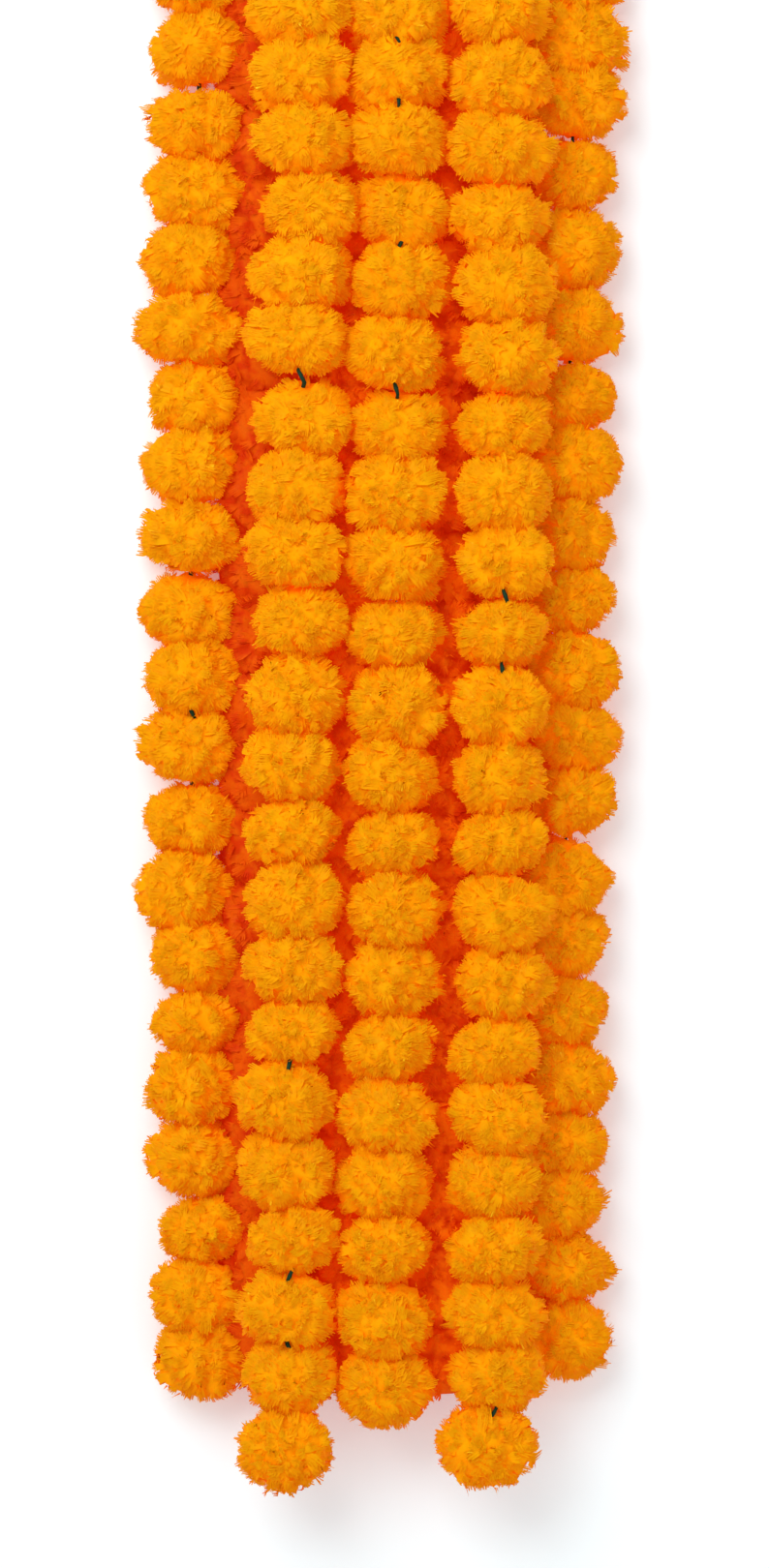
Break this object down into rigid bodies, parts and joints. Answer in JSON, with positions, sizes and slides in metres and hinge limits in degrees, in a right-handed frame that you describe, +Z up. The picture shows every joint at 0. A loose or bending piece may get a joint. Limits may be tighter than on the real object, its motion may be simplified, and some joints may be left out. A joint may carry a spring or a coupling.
{
  "type": "marigold garland",
  "caption": "Bunch of strings of round ruffled orange marigold heads, threaded on green string, tied at the top and laid flat.",
  "frame": {"origin": "middle of the footprint, on the surface that the bunch lies on", "axes": "+Y along the strings, from their loose lower ends to the tie; +Z up; +X to the right as seen from above with the tie away from the viewer"},
  "size_m": [0.46, 1.5811, 0.1487],
  "materials": {
    "bright_petals": "crinkled thin sheet, satin",
    "deep_petals": "crinkled thin sheet, satin",
    "green_string": "twisted, satin"
  },
  "bodies": {
    "root": {"green_string_inner_1": "green_string", "green_string_inner_2": "green_string", "green_string_inner_3": "green_string", "green_string_inner_4": "green_string", "green_string_outer_left": "green_string", "green_string_outer_right": "green_string", "green_string_top_left": "green_string", "green_string_top_middle": "green_string", "green_string_top_right": "green_string", "heads_inner_1_1": "deep_petals", "heads_inner_1_2": "deep_petals", "heads_inner_1_3": "deep_petals", "heads_inner_1_4": "deep_petals", "heads_inner_2_1": "deep_petals", "heads_inner_2_2": "deep_petals", "heads_inner_2_3": "deep_petals", "heads_inner_2_4": "deep_petals", "heads_inner_3_1": "deep_petals", "heads_inner_3_2": "deep_petals", "heads_inner_3_3": "deep_petals", "heads_inner_3_4": "deep_petals", "heads_inner_4_1": "deep_petals", "heads_inner_4_2": "deep_petals", "heads_inner_4_3": "deep_petals", "heads_inner_4_4": "deep_petals", "heads_outer_left_1": "bright_petals", "heads_outer_left_2": "bright_petals", "heads_outer_left_3": "bright_petals", "heads_outer_left_4": "bright_petals", "heads_outer_right_1": "bright_petals", "heads_outer_right_2": "bright_petals", "heads_outer_right_3": "bright_petals", "heads_outer_right_4": "bright_petals", "heads_top_left_1": "bright_petals", "heads_top_left_2": "bright_petals", "heads_top_left_3": "bright_petals", "heads_top_left_4": "bright_petals", "heads_top_middle_1": "bright_petals", "heads_top_middle_2": "bright_petals", "heads_top_middle_3": "bright_petals", "heads_top_middle_4": "bright_petals", "heads_top_right_1": "bright_petals", "heads_top_right_2": "bright_petals", "heads_top_right_3": "bright_petals", "heads_top_right_4": "bright_petals", "tie_band": "green_string"}
  },
  "joints": []
}
